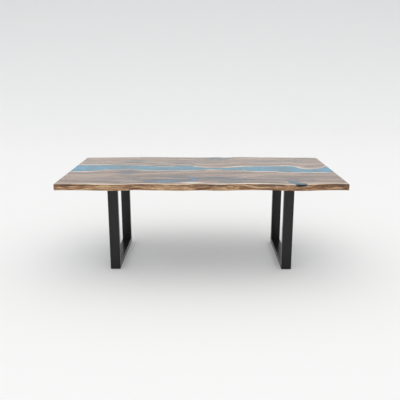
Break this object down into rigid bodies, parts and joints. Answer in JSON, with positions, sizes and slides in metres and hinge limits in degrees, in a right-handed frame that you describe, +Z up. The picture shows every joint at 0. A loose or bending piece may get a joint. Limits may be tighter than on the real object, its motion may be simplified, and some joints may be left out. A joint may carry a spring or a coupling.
{
  "type": "river table",
  "caption": "Dining table with live-edge walnut slabs joined by a pale blue resin river, standing on closed rectangular leg frames of black steel tube.",
  "frame": {"origin": "on the floor, under the middle of the tabletop", "axes": "+X along the table to the right, +Y to the rear, +Z up"},
  "size_m": [2.16, 1.2249, 0.76],
  "materials": {
    "walnut": "lacquered, satin gloss",
    "river_resin": "polished, cloudy",
    "fill_resin": "polished, cloudy",
    "black_steel": "fine powder coat",
    "zinc_steel": "zinc plated",
    "brass": "turned",
    "black_nylon": "moulded"
  },
  "bodies": {
    "root": {"rear_slab": "walnut", "front_slab": "walnut", "river_resin": "river_resin", "left_streak_fill": "fill_resin", "crack_fill": "fill_resin", "right_streak_fill": "fill_resin", "edge_pocket_fill": "fill_resin", "rear_knot_fill": "fill_resin", "left_stiffener": "black_steel", "centre_stiffener": "black_steel", "right_stiffener": "black_steel", "stiffener_screws": "zinc_steel", "left_front_upright": "black_steel", "left_rear_upright": "black_steel", "left_floor_rail": "black_steel", "left_top_rail": "black_steel", "left_front_plate": "black_steel", "left_rear_plate": "black_steel", "left_inserts": "brass", "left_washers": "zinc_steel", "left_bolts": "zinc_steel", "left_glides": "black_nylon", "right_front_upright": "black_steel", "right_rear_upright": "black_steel", "right_floor_rail": "black_steel", "right_top_rail": "black_steel", "right_front_plate": "black_steel", "right_rear_plate": "black_steel", "right_inserts": "brass", "right_washers": "zinc_steel", "right_bolts": "zinc_steel", "right_glides": "black_nylon"}
  },
  "joints": []
}
